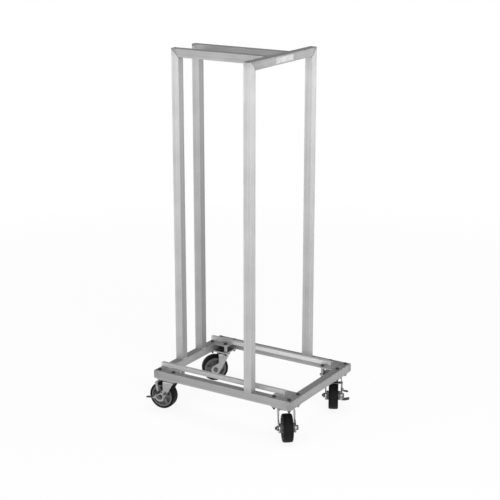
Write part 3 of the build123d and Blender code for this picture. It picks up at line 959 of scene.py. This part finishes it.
@dataclass
class FrameWelds:
    """Weld beads of the frame: fillets in the corners of its joints and low seams over its flush joints."""

    leg: float = 0.0032
    seam_half: float = 0.0034
    seam_rise: float = 0.0006
    edge_round: float = 0.0019
    edge_inset: float = 0.001
    end_inset: float = 0.0028
    edge_end_inset: float = 0.0014
    mitre_inset: float = 0.0006
    in_corner: BeadShape = BeadShape(crest=45.0, toes=45.0)
    on_flat: BeadShape = BeadShape(crest=90.0, toes=90.0)
    on_edge: BeadShape = BeadShape(crest=90.0, toes=120.0)
    on_mitre: BeadShape = BeadShape(crest=118.0, toes=62.0, power=4)
    # Top mitres: dark outer edges and a painted shadow in the fillet under the bar. Base mitres: paler edges
    # and no painted shadow inside.
    top_mitre: MitreLook = MitreLook(edge_shade=0.15, inner_shade=0.12, inner_leg=0.005)
    base_mitre: MitreLook = MitreLook(edge_shade=0.55, inner_shade=1.0, inner_leg=0.0032)
    pitch: float = 0.0026
    ripple: float = 0.22
    ripple_shade: float = 0.5
    bow: float = 0.5
    tip: float = 0.995
    columns: int = 12
    steps: int = 6
    fewest_rows: int = 8
    crease: float = 60.0
    stitch: float = 0.03

    def bead(self, start: Array, end: Array, across: Array, proud: Array, shape: BeadShape) -> Patch:
        """One bead from start to end.

        Its section is an ellipse with half axes across and proud. Along the bead the section swells and
        drops back once for each ripple, as one minus the square of the share of the ripple run so far, and
        so does the shade, painted darker in the ripples' hollows. The ripples bow with the square of the
        sine of the angle from the crest, and the section shrinks to the ends as the root of one minus a
        power of the place along the bead. The shade is
        painted light and shade: it falls from one at the lit crest to zero at the toes with the square of
        the angle, and to zero at the ends as the square of the section does.

        Args:
            start: First end of the joint's line.
            end: Other end.
            across: Half axis of the section along one face.
            proud: Half axis of the section out of the joint.
            shape: Where its crest and toes are, and how its ends draw in.

        Returns:
            The bead.
        """
        run = float(np.linalg.norm(end - start))
        rows = max(int(self.steps * run / self.pitch), self.fewest_rows)
        place = np.linspace(-self.tip, self.tip, rows)[:, None]
        share = (place + 1.0) / 2.0
        angle = round_turn(self.columns)[None, :]
        aside = (angle - radians(shape.crest) + pi) % (2.0 * pi) - pi
        drop = ((share * run / self.pitch + self.bow * np.sin(aside) ** 2) % 1.0) ** 2
        taper = 1.0 - place**shape.power
        swell = (1.0 - self.ripple * drop) * np.sqrt(taper)
        line = start + share[:, :, None] * (end - start)
        section = np.cos(angle)[..., None] * across + np.sin(angle)[..., None] * proud
        # Painted light and shade: light on the crest, dark at the toes, the ends and the ripples' hollows.
        shade = taper * np.clip(1.0 - (aside / radians(shape.toes)) ** 2, 0.0, 1.0)
        shade = shade * (1.0 - self.ripple_shade * drop)
        return Patch(line + swell[..., None] * section, shade=shade)

    def fillet(self, start: Array, end: Array, across: Array, proud: Array) -> Patch:
        """Bead in the inside corner between two faces, its half axes along them."""
        return self.bead(start, end, across, proud, self.in_corner)

    def seam(self, start: Array, end: Array, across: Array, proud: Array) -> Patch:
        """Low bead over a joint between two flush faces that look along proud."""
        return self.bead(start, end, self.seam_half * across, self.seam_rise * proud, self.on_flat)

    def mitre_seam(self, start: Array, end: Array, across: Array, proud: Array) -> Patch:
        """Seam with pointed ends, its painted light crest leaning back from a wide toe of painted shade
        along across.
        """
        return self.bead(start, end, self.seam_half * across, self.seam_rise * proud, self.on_mitre)

    def edge(self, start: Array, end: Array, across: Array, proud: Array) -> Patch:
        """Round bead on an outside edge that looks along proud."""
        return self.bead(start, end, self.edge_round * across, self.edge_round * proud, self.on_edge)

    def corner(
        self, outer: Array, one: Array, other: Array, square: Array, look: MitreLook
    ) -> list[Patch]:
        """Beads of a mitred corner: a seam on each flat side and round the outer edge, and a fillet inside.

        Args:
            outer: Outer corner of the joint, at its low end along square.
            one: Direction that one tube runs in from the corner.
            other: Direction that the other tube runs in.
            square: Direction square to both.
            look: The painted shade of its beads.

        Returns:
            The four beads.
        """
        inward, width = one + other, TUBE * square
        inner = outer + TUBE * inward
        slant, away = (one - other) / np.sqrt(2.0), -inward / np.sqrt(2.0)
        first, last = outer + self.mitre_inset * inward, inner - self.mitre_inset * inward
        start, stop = outer + self.edge_inset * inward, self.end_inset * square
        edge_stop = self.edge_end_inset * square
        legs = look.inner_leg * one, look.inner_leg * other
        outside = self.edge(start + edge_stop, start + width - edge_stop, slant, away)
        inside = self.fillet(inner + stop, inner + width - stop, *legs)
        return [
            self.mitre_seam(first, last, slant, -square),
            self.mitre_seam(first + width, last + width, slant, square),
            # Painted shade on the outer edge, and a painted shadow in the fillet inside.
            outside.dulled(look.edge_shade),
            inside.dulled(look.inner_shade),
        ]

    def tee(self, centre: Array, out: Array, flush: Array, along: Array) -> list[Patch]:
        """Beads of a tube that stands on another: fillets along the carrying tube's way, seams where flush.

        Args:
            centre: Middle of the footprint.
            out: Direction that the standing tube runs in.
            flush: Direction across the carrying tube.
            along: Direction of the carrying tube.

        Returns:
            The four beads.
        """
        half = TUBE / 2.0
        run = half - self.end_inset
        beads = []
        for side in (-1.0, 1.0):
            edge, face = centre + side * half * along, centre + side * half * flush
            legs = self.leg * side * along, self.leg * out
            beads.append(self.fillet(edge - run * flush, edge + run * flush, *legs))
            beads.append(self.seam(face - run * along, face + run * along, out, side * flush))
        return beads

    def post_feet(self) -> list[Patch]:
        """Beads round the foot of each post.

        Returns:
            All those beads.
        """
        beads = []
        for post in STOP_POSTS + SIDE_POSTS:
            foot = middle_of(post) * (X + Y) + corners_of(post)[0] * Z
            flush, along = (X, Y) if post in STOP_POSTS else (Y, X)
            beads += self.tee(foot, Z, flush, along)
        return beads

    def top_corners(self) -> list[Patch]:
        """Beads of the mitres between the posts and the top bars.

        Returns:
            All those beads.
        """
        beads = []
        for post in STOP_POSTS:
            low, high = corners_of(post)
            beads += self.corner(np.array([low[0], low[1], high[2]]), X, -Z, Y, self.top_mitre)
        for post, inward in zip(SIDE_POSTS, (1.0, -1.0)):
            low, high = corners_of(post)
            outer_y = low[1] if inward > 0 else high[1]
            outer = np.array([low[0], outer_y, high[2]])
            beads += self.corner(outer, inward * Y, -Z, X, self.top_mitre)
        return beads

    def bar_ends(self) -> list[Patch]:
        """Beads where the two long top bars butt against the cross bar.

        Returns:
            All those beads.
        """
        beads = []
        for bar in ("front_top_bar", "back_top_bar"):
            end = middle_of(bar) * (Y + Z) + corners_of(bar)[1] * X
            beads += self.tee(end, -X, Z, Y)
        return beads

    def base_corners(self) -> list[Patch]:
        """Beads of the mitres of the base.

        Returns:
            All those beads.
        """
        low = corners_of("front_base_tube")[0]
        reach_x, reach_y = -low[0], -low[1]
        beads = []
        for side_x in (-1.0, 1.0):
            for side_y in (-1.0, 1.0):
                outer = np.array([side_x * reach_x, side_y * reach_y, low[2]])
                beads += self.corner(outer, -side_x * X, -side_y * Y, Z, self.base_mitre)
        return beads

    def gussets(self) -> list[Patch]:
        """Seams along the two edges of each gusset that meet the tubes.

        Returns:
            All those seams.
        """
        beads = []
        for corner in Corner:
            low, high = corners_of(f"{corner.value}_gusset")
            far = np.where(np.abs(low) > np.abs(high), low, high)
            near = np.where(np.abs(low) > np.abs(high), high, low)
            meet = np.array([far[0], far[1], high[2]])
            beads.append(self.seam(meet, np.array([near[0], far[1], high[2]]), Y, Z))
            beads.append(self.seam(meet, np.array([far[0], near[1], high[2]]), X, Z))
        return beads

    def rails(self) -> list[Patch]:
        """Short stitches along both sides of each rail, on the end tube and on the gussets.

        Returns:
            All those stitches.
        """
        beads = []
        for rail, corners in (("front_rail", "front"), ("back_rail", "back")):
            low, high = corners_of(rail)
            carriers = ["left_base_tube", f"{corners}_left_gusset", f"{corners}_right_gusset"]
            for carrier in carriers:
                first, last = corners_of(carrier)
                mid = (max(first[0], low[0]) + min(last[0], high[0])) / 2.0
                for side, edge in ((-1.0, low[1]), (1.0, high[1])):
                    start = np.array([mid - self.stitch / 2.0, edge, low[2]])
                    legs = self.leg * side * Y, self.leg * Z
                    beads.append(self.fillet(start, start + self.stitch * X, *legs))
        return beads

    def build(self) -> None:
        """Makes each kind of joint's beads as one piece on the frame."""
        for name, beads in {
            "post_foot_welds": self.post_feet(),
            "top_corner_welds": self.top_corners(),
            "cross_bar_welds": self.bar_ends(),
            "base_corner_welds": self.base_corners(),
            "gusset_welds": self.gussets(),
            "rail_welds": self.rails(),
        }.items():
            add_piece(name, beads, WELD, "frame", self.crease)


@dataclass
class BlankPlate:
    """Plain plate on the cross bar's outer face, with a raised rim and two rivets.

    The height of its field and the round of its edge are shares of the thickness, and the rise of a rivet's
    dome is a share of the rivet's radius.
    """

    length: float = 0.148
    height: float = 0.027
    thickness: float = 0.0014
    corner: float = 0.004
    rim: float = 0.0016
    middle_y: float = -0.006
    field_height: float = 0.55
    edge_round: float = 0.4
    edge_steps: int = 5
    least_round: float = 0.0003
    rivet: float = 0.0024
    rivet_inset: float = 0.0075
    rivet_rise: float = 0.5
    rivet_tip: float = 0.08
    rivet_steps: int = 7
    rivet_columns: int = 20
    columns: int = 64

    def outline(self, inset: Array) -> Array:
        """Rounded oblong at each inset: a circle of the corner's radius, its quarters pushed to the corners.

        Args:
            inset: How far inside the plate's edge each outline runs.

        Returns:
            The outlines, one row of points for each inset.
        """
        angle = (np.arange(self.columns) + 0.5) * 2.0 * pi / self.columns
        reach = np.array([self.length, self.height]) / 2.0 - self.corner
        way = np.stack([np.cos(angle), np.sin(angle)], -1)
        radius = np.maximum(self.corner - inset, self.least_round)
        return np.sign(way) * reach + radius[:, None, None] * way

    def plate(self) -> Patch:
        """The plate, from its sunk field over the raised rim and its rounded edge to its back.

        Returns:
            The plate on its own back.
        """
        bend = quarter_turn(self.edge_steps)
        edge = self.edge_round * self.thickness
        inset = np.concatenate([[self.rim + edge, self.rim], edge * (1.0 - np.sin(bend)), [0.0]])
        round_edge = self.thickness - edge * (1.0 - np.cos(bend))
        height = np.concatenate([[self.field_height * self.thickness, self.thickness], round_edge, [0.0]])
        flat = self.outline(inset)
        rise = np.broadcast_to(height[:, None, None], (*flat.shape[:2], 1))
        return Patch(np.concatenate([flat, rise], -1))

    def rivet_head(self, along: float) -> Patch:
        """Domed rivet head: a quarter ellipse turned about its axis.

        Args:
            along: Place along the plate, from its middle.

        Returns:
            The rivet's head on the plate's back.
        """
        bend = np.linspace(self.rivet_tip, pi / 2.0, self.rivet_steps)
        dome = self.field_height * self.thickness + self.rivet_rise * self.rivet * np.cos(bend)
        radii = self.rivet * np.concatenate([np.sin(bend), [1.0]])
        head = turned(radii, np.concatenate([dome, [0.0]]), self.rivet_columns)
        return Patch(head.points + along * X)

    def build(self) -> None:
        """Sets the plate and its rivets on the cross bar."""
        low, high = corners_of("cross_top_bar")
        seat = Seat(np.array([high[0], self.middle_y, (low[2] + high[2]) / 2.0]), np.stack([Y, Z, X]))
        reach = self.length / 2.0 - self.rivet_inset
        add_piece("blank_plate", [seat.put(self.plate())], BLANK, "frame")
        rivets = [seat.put(self.rivet_head(side * reach)) for side in (-1.0, 1.0)]
        add_piece("plate_rivets", rivets, BLANK, "frame")


# Casters


@dataclass
class CasterFixings:
    """Bolts and nuts that hold the casters, with the kingpins, balls and spacers."""

    spacing: float = 0.0762
    across: float = 0.0143
    shank: float = 0.0047625
    pitch: float = 0.0015875
    thread: float = 0.016

    def places(self) -> list[Array]:
        """Middle of each bolt in plan: the corners of a square about each caster plate's middle.

        Returns:
            One place for each bolt.
        """
        half = self.spacing / 2.0
        return [
            middle_of(f"{corner.value}_caster_plate") + half * (side_x * X + side_y * Y)
            for corner in Corner
            for side_x in (-1, 1)
            for side_y in (-1, 1)
        ]

    def build(self) -> None:
        """Replaces the plain bolts and nuts by threaded ones, and dresses the rest."""
        low, high = corners_of("caster_bolts")
        seat_z = corners_of("front_base_tube")[1][2]
        nut_low, nut_high = corners_of("caster_nuts")
        bolt = HexBolt(
            across=self.across, head=high[2] - seat_z, shank=self.shank, length=seat_z - low[2],
            pitch=self.pitch, thread=self.thread,
        )
        nut = HexNut(across=self.across, height=nut_high[2] - nut_low[2], bore=self.shank)
        bolts = [Seat(place * (X + Y) + seat_z * Z).put(bolt.patch()) for place in self.places()]
        nuts = [Seat(place * (X + Y) + nut_low[2] * Z).put(nut.patch()) for place in self.places()]
        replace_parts(add_piece("caster_bolts_threaded", bolts, FASTENER, "frame"), "caster_bolts")
        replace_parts(add_piece("caster_nuts_bevelled", nuts, FASTENER, "frame"), "caster_nuts")
        dress_nodes(["bolt_spacers"], ZINC)
        dress_nodes(["kingpins"], FASTENER)
        dress_nodes(["swivel_balls"], BEARING)


@dataclass(frozen=True)
class PedalGrip:
    """Moulded grip pushed over the end of a brake pedal, with ribs on the foot's side."""

    edge: float = 0.0018
    edge_turn: float = radians(77.4)
    edge_steps: int = 7
    ribs: int = 7
    rib: float = 0.0006
    squareness: float = 0.38
    columns: int = 48
    rows: int = 85

    def patch(self, low: Array, high: Array) -> Patch:
        """The grip between two corners: its length along X, its width along Y and its ribs up Z.

        The section is a rounded oblong: the cosine and the sine of the turn, each raised to a small power,
        times half the width and half the height. Towards both ends it draws in along most of a quarter
        circle. On the upper side the ribs add the square of a raised cosine of the place along the grip.

        Args:
            low: Lowest corner, below the ribs.
            high: Highest corner, below the ribs.

        Returns:
            The grip.
        """
        bend = np.linspace(0.0, self.edge_turn, self.edge_steps)
        first, last = low[0] + self.edge, high[0] - self.edge
        rise, inset = self.edge * np.sin(bend), self.edge * (1.0 - np.cos(bend))
        run = np.linspace(first, last, self.rows)
        place = np.concatenate([first - rise[:0:-1], run, last + rise[1:]])[:, None]
        inset = np.concatenate([inset[:0:-1], np.zeros(self.rows), inset[1:]])[:, None]
        angle = round_turn(self.columns)[None, :]
        ways = np.cos(angle), np.sin(angle)
        across, up = (np.sign(way) * np.abs(way) ** self.squareness for way in ways)
        share = np.clip((place - first) / (last - first), 0.0, 1.0)
        wave = (0.5 - 0.5 * np.cos(2.0 * pi * self.ribs * share)) ** 2
        middle, half = (low + high) / 2.0, (high - low) / 2.0
        wide = middle[1] + (half[1] - inset) * across
        deep = middle[2] + (half[2] - inset + self.rib * wave * np.maximum(up, 0.0)) * up
        return Patch(np.stack(np.broadcast_arrays(place, wide, deep), -1))


@dataclass
class Caster:
    """One caster: plate, fork, axle, wheel and, on two of them, the brake."""

    corner: Corner
    axle_across: float = 0.01905
    axle_shank: float = 0.00635
    axle_head: float = 0.011
    axle_thread: float = 0.018
    axle_pitch: float = 0.00195
    collar: float = 0.0028
    shoulder: float = 0.006
    shoulder_steps: int = 10
    crown: float = 0.0009
    tread_rows: int = 17
    groove: float = 0.0005
    wall_rows: int = 22
    bore_edge: float = 0.0006
    side_wear_and_light: float = 0.2
    wear_and_highlight_full: float = 0.1875
    wear_and_highlight_end: float = 0.8125
    boss: float = 0.021
    web: float = 0.012
    inside_rim: float = 0.045
    casting_round: float = 0.0024
    casting_sink: float = 0.0003
    casting_steps: int = 6
    casting_columns: int = 96
    columns: int = 144
    pedals: int = 2
    pedal_corners: int = 4

    @property
    def braked(self) -> bool:
        """Whether the frame has a brake lever for this caster."""
        return self.node("brake_lever") in frame["nodes"]

    def node(self, part: str) -> str:
        """Name of one of the caster's nodes or bodies."""
        return f"{self.corner.value}_{part}"

    def axis(self) -> Array:
        """Direction of the axle, towards the head of its bolt."""
        joint = next(j for j in frame["joints"] if j["name"] == self.node("wheel_roll"))
        return np.array(joint["axis"])

    def centre(self) -> Array:
        """Middle of the wheel."""
        return middle_of(self.node("tyre"))

    def extent(self, part: str) -> tuple[float, float]:
        """Reach of one node along the axle, from the middle of the wheel."""
        along = (node_points(self.node(part)) - self.centre()) @ self.axis()
        return float(along.min()), float(along.max())

    def tyre(self) -> Patch:
        """The tyre as a looped surface turned about the axle.

        Its section runs out along the bore, up the sidewall with two shallow grooves, round the shoulder,
        over a tread that falls from the middle by the square of the place across it, and back down. The
        wear, which is also a painted highlight, is full in the middle of the tread and falls off evenly to
        its end before the shoulders.

        Returns:
            The tyre about its own axle.
        """
        half = self.extent("tyre")[1]
        out = node_points(self.node("tyre")) - self.centre()
        radial = np.linalg.norm(out - np.outer(out @ self.axis(), self.axis()), axis=1)
        bore, tread = float(radial.min()), float(radial.max())
        wall_top = tread - self.crown - self.shoulder
        climb = np.linspace(bore + self.bore_edge, wall_top, self.wall_rows)
        share = (climb - climb[0]) / (climb[-1] - climb[0])
        wall = half - self.groove * np.sin(2.0 * pi * share) ** 2
        bend = quarter_turn(self.shoulder_steps)[1:-1]
        round_radii = wall_top + self.shoulder * np.sin(bend)
        round_heights = half - self.shoulder + self.shoulder * np.cos(bend)
        across = np.linspace(1.0, -1.0, self.tread_rows)
        side_radii = np.concatenate([[bore], climb, round_radii])
        side_heights = np.concatenate([[half - self.bore_edge], wall, round_heights])
        radii = np.concatenate([side_radii, tread - self.crown * across**2, side_radii[::-1]])
        heights = np.concatenate([side_heights, (half - self.shoulder) * across, -side_heights[::-1]])
        # Wear and painted highlight: full in the middle of the tread, low on the sidewalls.
        fall = (self.wear_and_highlight_end - np.abs(across)) / (self.wear_and_highlight_end - self.wear_and_highlight_full)
        worn_and_highlit = self.side_wear_and_light + (1.0 - self.side_wear_and_light) * np.clip(fall, 0.0, 1.0)
        plain = np.full(len(side_radii), self.side_wear_and_light)
        shade = np.concatenate([plain, worn_and_highlit, plain])[:, None]
        return turned(radii, heights, self.columns, looped=True, shade=shade)

    def casting_rings(self) -> list[Patch]:
        """Rounded corners of the casting, where the web meets the boss and the rim on both sides.

        Each ring's section is a right angle, sunk a little into the casting and closed by a hollow quarter
        circle.

        Returns:
            The four rings about the axle.
        """
        bend = quarter_turn(self.casting_steps)
        hollow, climb = self.casting_round * (1.0 - np.sin(bend)), self.casting_round * (1.0 - np.cos(bend))
        out = np.concatenate([[-self.casting_sink], hollow, [-self.casting_sink]])
        rise = np.concatenate([[-self.casting_sink], climb, [self.casting_round]])
        return [
            turned(radius + way * out, side * (self.web + rise), self.casting_columns, looped=True)
            for radius, way in ((self.boss, 1.0), (self.inside_rim, -1.0))
            for side in (-1.0, 1.0)
        ]

    def build_wheel(self) -> None:
        """Makes the tyre and the casting's rounded corners, and dresses hub and bearing."""
        seat = seat_along(self.centre(), self.axis())
        wheel = self.node("wheel")
        tyre = add_piece(self.node("tyre_turned"), [seat.put(self.tyre())], RUBBER, wheel)
        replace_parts(tyre, self.node("tyre"))
        add_piece(self.node("hub_rounds"), [seat.put(ring) for ring in self.casting_rings()], HUB, wheel)
        dress_nodes([self.node("wheel_hub")], HUB)
        dress_nodes([self.node("wheel_bearing"), self.node("axle_sleeve")], BEARING)

    def build_axle(self) -> None:
        """Replaces the plain axle bolt and nut by a threaded bolt and a lock nut with a collar."""
        low, high = self.extent("axle_bolt")
        nut_low, nut_high = self.extent("axle_nut")
        axis, swivel = self.axis(), self.node("swivel")
        face = high - self.axle_head
        bolt = HexBolt(
            across=self.axle_across, head=self.axle_head, shank=self.axle_shank, length=face - low,
            pitch=self.axle_pitch, thread=self.axle_thread,
        )
        nut = HexNut(
            across=self.axle_across, height=nut_high - nut_low, bore=self.axle_shank, collar=self.collar
        )
        bolt_patch = seat_along(self.centre() + face * axis, axis).put(bolt.patch())
        nut_patch = seat_along(self.centre() + nut_high * axis, -axis).put(nut.patch())
        bolt_piece = add_piece(self.node("axle_bolt_threaded"), [bolt_patch], FASTENER, swivel)
        nut_piece = add_piece(self.node("axle_lock_nut"), [nut_patch], FASTENER, swivel)
        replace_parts(bolt_piece, self.node("axle_bolt"))
        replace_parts(nut_piece, self.node("axle_nut"))

    def pedal_ends(self) -> list[Seat]:
        """Where the two pedals of the brake end.

        The four corners of a pedal's end are the points of the lever that stand furthest out along the
        axle. From one of them the nearest other is the thickness away, and the next is the width away.

        Returns:
            For each pedal a seat at its end, X out of it and Z up through it.
        """
        points = np.unique(node_points(self.node("brake_lever")).round(MICRON_DIGITS), axis=0)
        out = (points - self.centre()) @ self.axis()
        furthest = points[np.argsort(-out)[: self.pedals * self.pedal_corners]]
        found = []
        for end in furthest.reshape(self.pedals, self.pedal_corners, 3):
            gaps = end - end[0]
            _, thick, wide, _ = gaps[np.argsort(np.linalg.norm(gaps, axis=1))]
            up = thick / np.linalg.norm(thick) * np.sign(thick[2])
            ahead = np.cross(wide, up) / np.linalg.norm(wide)
            ahead = ahead * np.sign(ahead @ self.axis())
            found.append(Seat(end.mean(0), np.stack([ahead, np.cross(up, ahead), up])))
        return found

    def ribbed_grips(self) -> list[Patch]:
        """A ribbed grip in place of each plain one.

        A point of the plain grips belongs to the pedal whose end is nearest, and the reach of those points
        along the axes of that end gives the corners of the grip.

        Returns:
            Both grips.
        """
        seats = self.pedal_ends()
        points = node_points(self.node("pedal_grips"))
        nearest = np.argmin([np.linalg.norm(points - seat.origin, axis=1) for seat in seats], axis=0)
        grips = []
        for number, seat in enumerate(seats):
            own = (points[nearest == number] - seat.origin) @ seat.axes.T
            grips.append(seat.put(PedalGrip().patch(own.min(0), own.max(0))))
        return grips

    def build_brake(self) -> None:
        """Replaces the plain pedal grips by ribbed ones, and dresses the brake lever and its rivet."""
        grips = add_piece(self.node("pedal_grips_ribbed"), self.ribbed_grips(), GRIP, self.node("brake"))
        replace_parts(grips, self.node("pedal_grips"))
        dress_nodes([self.node("brake_lever")], ZINC)
        dress_nodes([self.node("lever_rivet")], FASTENER)

    def build(self) -> None:
        """Makes and dresses the whole caster."""
        self.build_wheel()
        self.build_axle()
        dress_nodes([self.node("caster_plate"), self.node("fork")], ZINC)
        if self.braked:
            self.build_brake()


# Studio


@dataclass(frozen=True)
class SoftLamp:
    """Square soft lamp: its place, what it shines at, its side, its watts, and whether metal shows it."""

    name: str
    place: Triple
    aim: Triple
    side: float
    power: float
    mirrored: bool = True

    def build(self) -> None:
        """Hangs the lamp."""
        data = bpy.data.lights.new(self.name, "AREA")
        data.shape = "SQUARE"
        data.size = self.side
        data.energy = self.power
        lamp = bpy.data.objects.new(self.name, data)
        lamp.location = self.place
        lamp.rotation_mode = "QUATERNION"
        lamp.rotation_quaternion = (Vector(self.aim) - Vector(self.place)).to_track_quat("-Z", "Y")
        lamp.visible_camera = False
        lamp.visible_glossy = self.mirrored
        bpy.context.scene.collection.objects.link(lamp)
        LOG.info("hung %s", self.name)


@dataclass
class Studio:
    """Plain pale floor, a white backdrop that ends in a dim ceiling, and soft lamps."""

    floor_half: float = 60.0
    floor_white: float = 0.9
    floor_share: float = 0.9
    shadow_reach: float = 1.2
    white_reach: float = 4.0
    ceiling: float = 0.16
    backdrop_top: float = 0.13
    backdrop_fade: float = 0.18
    lamps: tuple[SoftLamp, ...] = (
        SoftLamp("key_lamp", place=(2.6, -2.4, 1.7), aim=(0.0, 0.0, 1.0), side=1.8, power=55.0),
        SoftLamp("fill_lamp", place=(-1.9, -2.9, 1.4), aim=(0.0, 0.0, 1.2), side=1.6, power=24.0),
        SoftLamp("rim_lamp", place=(2.2, 2.6, 1.3), aim=(0.0, 0.0, 1.2), side=1.6, power=20.0),
        SoftLamp(
            "top_lamp", place=(0.0, 0.0, 4.6), aim=(0.0, 0.0, 0.0), side=3.2, power=130.0, mirrored=False
        ),
    )

    def floor(self) -> None:
        """Flat floor with the object's shadow on it, white where the eye or a reflection sees it."""
        reach = self.floor_half
        mesh = bpy.data.meshes.new("studio_floor")
        corners = [(-reach, -reach, 0.0), (reach, -reach, 0.0), (reach, reach, 0.0), (-reach, reach, 0.0)]
        mesh.from_pydata(corners, [], [(0, 1, 2, 3)])
        floor = bpy.data.objects.new("studio_floor", mesh)
        bpy.context.scene.collection.objects.link(floor)
        made = bpy.data.materials.new("pale_floor")
        made.use_nodes = True
        graph = Graph(made.node_tree)
        rays = ("Is Camera Ray", "Is Glossy Ray", "Is Transmission Ray")
        eye, mirror, glass = (graph.node("ShaderNodeLightPath", output=ray) for ray in rays)
        seen = eye.most(mirror).most(glass)
        pale = graph.node("ShaderNodeBsdfDiffuse", sockets={"Color": (*grey(self.floor_white), 1.0)})
        white = graph.node("ShaderNodeEmission", sockets={"Color": WHITE, "Strength": 1.0})
        far = graph.length(graph.object_place()).share(self.shadow_reach, self.white_reach)
        share = seen * (self.floor_share + (1.0 - self.floor_share) * far)
        sockets = {"Fac": share, "Shader": pale, "Shader_001": white}
        mixed = graph.node("ShaderNodeMixShader", sockets=sockets)
        graph.node("ShaderNodeOutputMaterial", sockets={"Surface": mixed})
        mesh.materials.append(made)
        LOG.info("built the floor")

    def backdrop(self) -> None:
        """World that is white up to the top of the backdrop and fades to a dim ceiling above it."""
        world = bpy.data.worlds.new("studio_backdrop")
        world.use_nodes = True
        graph = Graph(world.node_tree)
        way = graph.node("ShaderNodeTexCoord", output="Generated")
        height = graph.node("ShaderNodeSeparateXYZ", sockets={"Vector": way}, output="Z")
        dim = height.share(self.backdrop_top, self.backdrop_top + self.backdrop_fade)
        colour = graph.blend(WHITE, (*grey(self.ceiling), 1.0), dim)
        light = graph.node("ShaderNodeBackground", sockets={"Color": colour, "Strength": 1.0})
        graph.node("ShaderNodeOutputWorld", sockets={"Surface": light})
        bpy.context.scene.world = world
        LOG.info("built the backdrop")

    def build(self) -> None:
        """Sets up floor, backdrop, lamps and colour view."""
        self.floor()
        self.backdrop()
        for lamp in self.lamps:
            lamp.build()
        bpy.context.scene.view_settings.view_transform = "Standard"


@dataclass(frozen=True)
class PhotoCamera:
    """Pinhole camera at the photograph's viewing angle, its focal length in pixels of a square image."""

    image: float = 500.0
    focal: float = 1345.6
    azimuth: float = 32.05
    pitch: float = 16.36
    roll: float = -0.02
    place: Triple = (3.059, -4.912, 2.455)
    sensor: float = 36.0
    sight: float = 200.0

    def build(self) -> None:
        """Makes the camera and gives it to the scene."""
        data = bpy.data.cameras.new("photo_camera")
        data.sensor_width = self.sensor
        data.lens = self.focal / self.image * self.sensor
        data.clip_end = self.sight
        turn, down = radians(self.azimuth), radians(self.pitch)
        ahead = Vector((-sin(turn) * cos(down), cos(turn) * cos(down), -sin(down)))
        camera = bpy.data.objects.new("photo_camera", data)
        tilt = Matrix.Rotation(radians(self.roll), 4, "Z")
        camera.matrix_world = (
            Matrix.Translation(self.place) @ ahead.to_track_quat("-Z", "Y").to_matrix().to_4x4() @ tilt
        )
        bpy.context.scene.collection.objects.link(camera)
        bpy.context.scene.camera = camera
        LOG.info("set the camera")


def main() -> None:
    """Builds and dresses each sub-assembly in order."""
    logging.basicConfig(level=logging.INFO, format="%(name)s: %(message)s")
    TubeFrame().dress()
    FrameWelds().build()
    BlankPlate().build()
    CasterFixings().build()
    for corner in Corner:
        Caster(corner).build()
    Studio().build()
    PhotoCamera().build()


if __name__ == "__main__":
    main()
